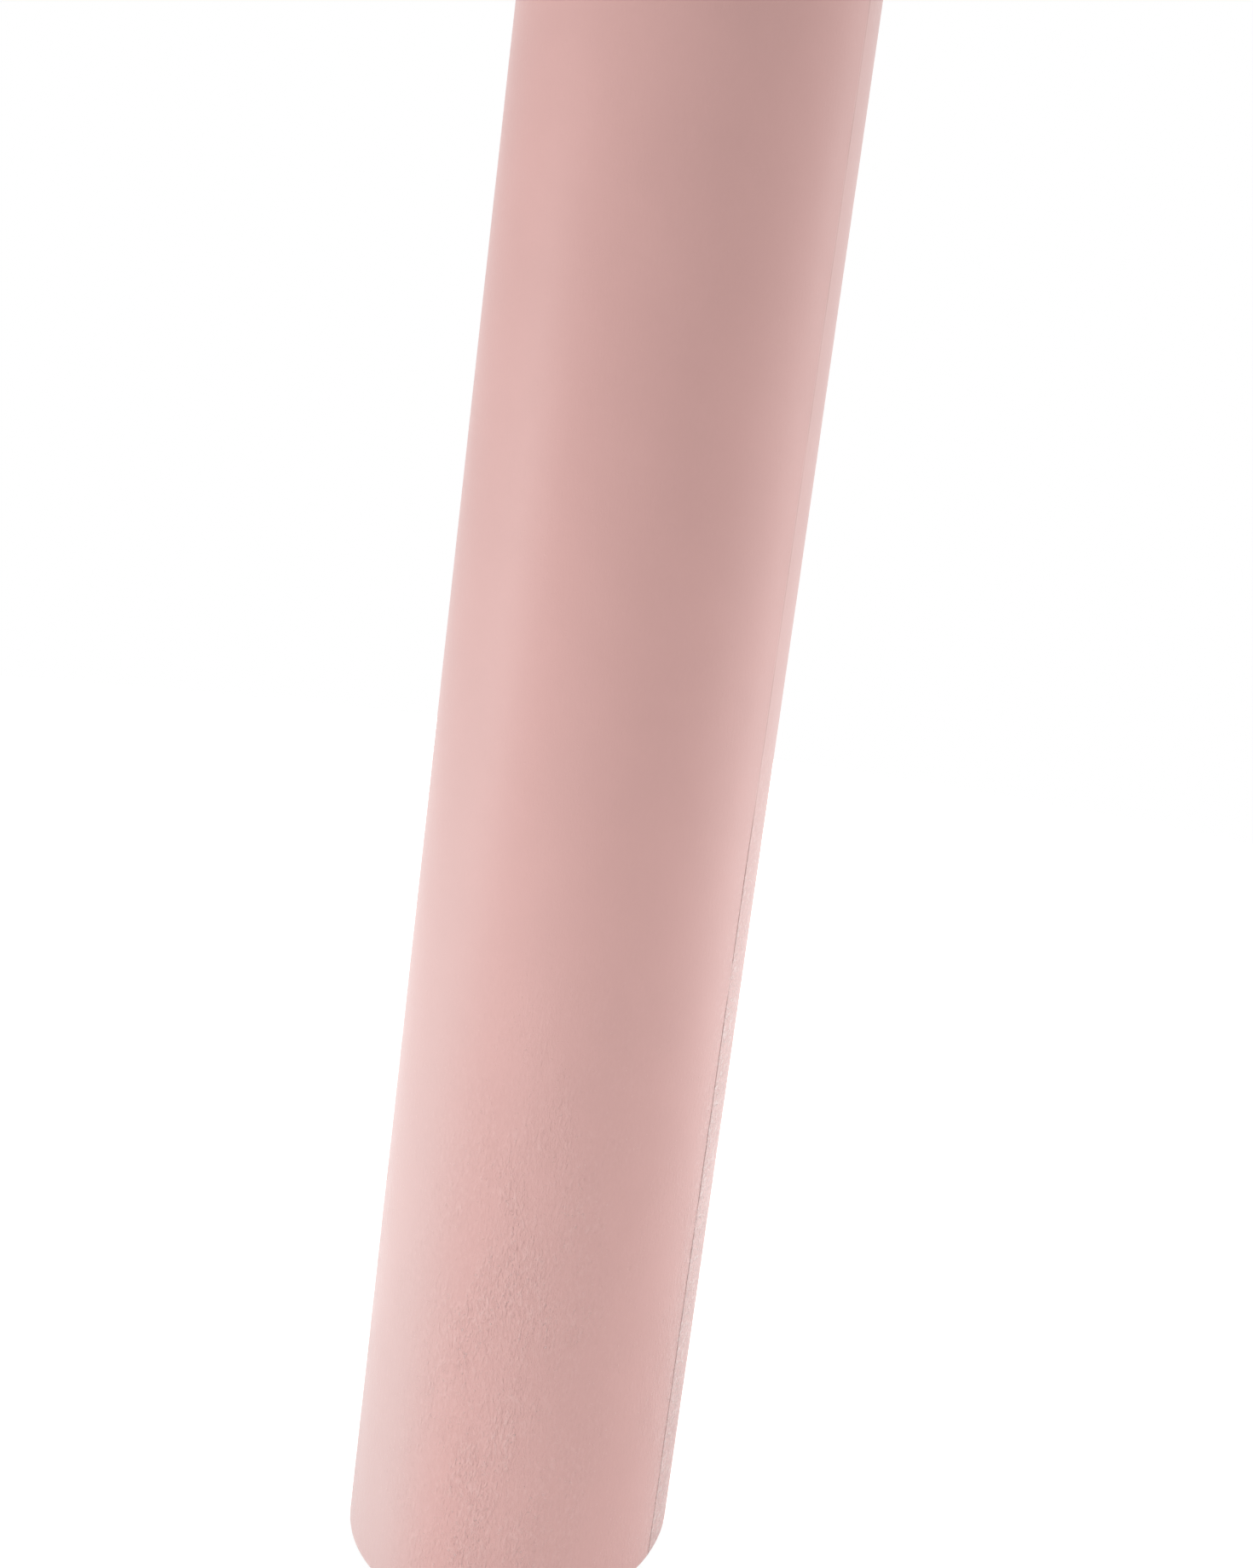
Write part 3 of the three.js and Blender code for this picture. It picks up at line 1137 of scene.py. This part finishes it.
@dataclass(frozen=True)
class PhotoCamera:
    """The photograph's camera, found from the roller's two edges, the rounding of its lower rim and its seam.

    The pixels are those of the whole photograph. The roller stands left of its lens axis, so the camera has a
    small sideways shift.
    """

    width: float = 1470.0
    height: float = 1839.0
    focal: float = 1600.0
    shift: float = 0.15
    base: tuple[float, float] = (599.66, 1769.53)
    base_depth_radii: float = 8.9454
    vanishing_point: tuple[float, float] = (-757.2, 12432.2)
    turn: float = math.radians(2.25)
    sensor: float = 36.0

    def ray(self, pixel: tuple[float, float]) -> Vector:
        """Gives a pixel's direction from the eye, with X to the right, Y down and Z forward in the picture."""
        across = pixel[0] - self.width / 2 - self.shift * self.height
        return Vector((across / self.focal, (pixel[1] - self.height / 2) / self.focal, 1.0))

    def build(self, radius: float) -> bpy.types.Object:
        """Makes the camera and sets it as the scene's.

        Args:
            radius: the roller's radius.

        Returns:
            The camera's object.
        """
        up = -self.ray(self.vanishing_point).normalized()
        eye = -self.ray(self.base) * self.base_depth_radii * radius
        level = eye - eye.dot(up) * up
        y_axis = -level.normalized()
        x_axis = y_axis.cross(up)
        to_world = Matrix((x_axis, y_axis, up))
        right, image_down, forward = to_world.col

        data = bpy.data.cameras.new("photo_camera")
        data.sensor_fit = "AUTO"
        data.sensor_width = self.sensor
        data.lens = self.focal * self.sensor / self.height
        data.shift_x = -self.shift
        camera = placed(data.name, data)
        pose = Matrix((right, -image_down, -forward)).transposed().to_4x4()
        pose.translation = to_world @ eye
        camera.matrix_world = Matrix.Rotation(self.turn, 4, "Z") @ pose
        bpy.context.scene.camera = camera
        LOG.info("camera: %.3f m high, %.3f m from the axis", pose.translation.z, pose.translation.xy.length)
        return camera


@dataclass(frozen=True)
class SoftBox:
    """A large soft light that looks at the roller's axis.

    Its bearing is in degrees round the roller, from the camera's. The aim is the height that it looks at.
    """

    name: str
    bearing: float
    distance: float
    height: float
    aim: float
    width: float
    tall: float
    watts: float

    def build(self, facing: float) -> None:
        """Makes the light.

        Args:
            facing: the camera's azimuth, in radians.
        """
        data = bpy.data.lights.new(self.name, "AREA")
        data.shape = "RECTANGLE"
        data.size = self.width
        data.size_y = self.tall
        data.energy = self.watts
        light = placed(self.name, data)
        azimuth = facing + math.radians(self.bearing)
        place = Vector((self.distance * math.cos(azimuth), self.distance * math.sin(azimuth), self.height))
        look = Vector((0.0, 0.0, self.aim)) - place
        light.matrix_world = Matrix.Translation(place) @ look.to_track_quat("-Z", "Y").to_matrix().to_4x4()
        light.visible_camera = False


@dataclass(frozen=True)
class Studio:
    """A plain pale floor, white surroundings and soft lights.

    The floor's glow rises along its reach, between two distances from the axis. The world's light comes up
    between two slopes of its direction, where 1 is straight up and -1 straight down.
    """

    floor_radius: float = 3.0
    floor_opening: float = ROLLER_DIAMETER / 2
    floor_drop: float = 0.3 * MM
    floor_columns: int = 96
    floor_color: Color = (0.8, 0.8, 0.8, 1.0)
    floor_glow: Span = (0.62, 1.0)
    glow_reach: Span = (0.25, 1.1)
    world_color: Color = (1.0, 1.0, 1.0, 1.0)
    low_light: float = 0.9
    low_span: Span = (-0.3, -0.6)
    high_light: float = 0.75
    high_span: Span = (0.0, 0.6)
    soft_boxes: tuple[SoftBox, ...] = (
        SoftBox("top_box", -30.0, 0.5, height=2.4, aim=0.9, width=1.6, tall=1.6, watts=17.0),
        SoftBox("left_strip", -75.0, 1.4, height=0.3, aim=0.3, width=0.3, tall=1.2, watts=7.48),
        SoftBox("left_low_box", -35.0, 0.8, height=0.1, aim=0.12, width=0.5, tall=0.2, watts=1.04),
        SoftBox("left_floor_panel", -140.0, 0.45, height=0.012, aim=20.0, width=0.6, tall=0.5, watts=0.35),
        SoftBox("right_side_box", 80.0, 1.2, height=0.3, aim=0.3, width=0.5, tall=1.0, watts=2.71),
        SoftBox("right_strip", 110.0, 1.2, height=0.4, aim=0.4, width=0.3, tall=1.4, watts=3.98),
        SoftBox("right_low_box", 100.0, 0.8, height=0.12, aim=0.12, width=0.4, tall=0.24, watts=0.39),
        SoftBox("right_back_box", 130.0, 1.2, height=0.15, aim=0.15, width=0.6, tall=0.6, watts=0.28),
        SoftBox("right_floor_panel", 110.0, 0.5, height=0.012, aim=20.0, width=0.5, tall=0.5, watts=0.49),
    )

    def build(self, camera: bpy.types.Object) -> None:
        """Builds the floor, the world and the lights.

        Args:
            camera: the photograph's camera, whose azimuth the lights are placed from.
        """
        self.floor()
        self.world()
        facing = math.atan2(camera.matrix_world.translation.y, camera.matrix_world.translation.x)
        for box in self.soft_boxes:
            box.build(facing)
        bpy.context.scene.view_settings.view_transform = "Standard"

    def seen(self, sheet: NodeSheet) -> Wire:
        """Gives 1 for camera, glossy and transmission rays, and 0 for the light that falls on the roller."""
        camera, glossy, through = (sheet.add("LightPath").outputs[f"Is {ray} Ray"] for ray in SEEING_RAYS)
        return sheet.math("MAXIMUM", sheet.math("MAXIMUM", camera, glossy), through)

    def floor(self) -> None:
        """Makes the floor, which is open under the roller's own end face."""
        mesh = bmesh.new()
        inner = ring(mesh, self.floor_opening, -self.floor_drop, self.floor_columns)
        outer = ring(mesh, self.floor_radius, -self.floor_drop, self.floor_columns)
        for i in range(self.floor_columns):
            j = (i + 1) % self.floor_columns
            mesh.faces.new((inner[i], outer[i], outer[j], inner[j]))
        plane = shown("studio_floor", mesh)
        plane.data.materials.append(self.floor_finish())

    def floor_finish(self) -> bpy.types.Material:
        """Makes the floor's material, which is pale from above, white to look at, and clear from below.

        Returns:
            The material.
        """
        material = bpy.data.materials.new("studio_floor_finish")
        material.use_nodes = True
        sheet = NodeSheet(material.node_tree)
        away = sheet.add("VectorMath", {0: sheet.place()}, operation="LENGTH").outputs["Value"]
        white = sheet.ramp(away, self.glow_reach, self.floor_glow)
        matte = sheet.add("BsdfDiffuse", {"Color": self.floor_color})
        glow = sheet.add("Emission", {"Strength": sheet.scaled(self.seen(sheet), white)})
        lit = sheet.add("AddShader", {0: matte.outputs["BSDF"], 1: glow.outputs["Emission"]})
        clear = sheet.add("BsdfTransparent")
        under = sheet.add("NewGeometry").outputs["Backfacing"]
        side = sheet.add("MixShader", {"Fac": under, 1: lit.outputs["Shader"], 2: clear.outputs["BSDF"]})
        sheet.add("OutputMaterial", {"Surface": side.outputs["Shader"]})
        return material

    def world(self) -> None:
        """Makes the surroundings, white to look at, with soft light from above and by the floor's opening."""
        world = bpy.data.worlds.new("studio_world")
        bpy.context.scene.world = world
        world.use_nodes = True
        sheet = NodeSheet(world.node_tree)
        direction = sheet.add("TexCoord").outputs["Generated"]
        rise = sheet.add("SeparateXYZ", {"Vector": direction}).outputs["Z"]
        above = sheet.ramp(rise, self.high_span, (0.0, self.high_light))
        below = sheet.ramp(rise, self.low_span, (0.0, self.low_light))
        seen = self.seen(sheet)
        ambient = sheet.scaled(sheet.math("ADD", above, below), sheet.math("SUBTRACT", 1.0, seen))
        strength = sheet.math("ADD", ambient, seen)
        back = sheet.add("Background", {"Color": self.world_color, "Strength": strength})
        sheet.add("OutputWorld", {"Surface": back.outputs["Background"]})


def write_sizes() -> None:
    """Writes nothing: it only holds a helper that gives a box's corners as plain lists."""
    def plain(box: object) -> list:
        """Gives a box's corners as plain lists."""
        return [[float(value) for value in corner] for corner in box]


def main() -> None:
    """Builds the roller's pieces in order, then the camera and the studio."""
    logging.basicConfig(level=logging.INFO, format="%(name)s: %(message)s")
    sleeve = FoamSleeve()
    camera = PhotoCamera().build(sleeve.diameter / 2)
    sleeve.build()
    CoreTube().build()
    for end in End:
        EndCap(end=end).build()
    Studio().build(camera)
    write_sizes()


if __name__ == "__main__":
    main()
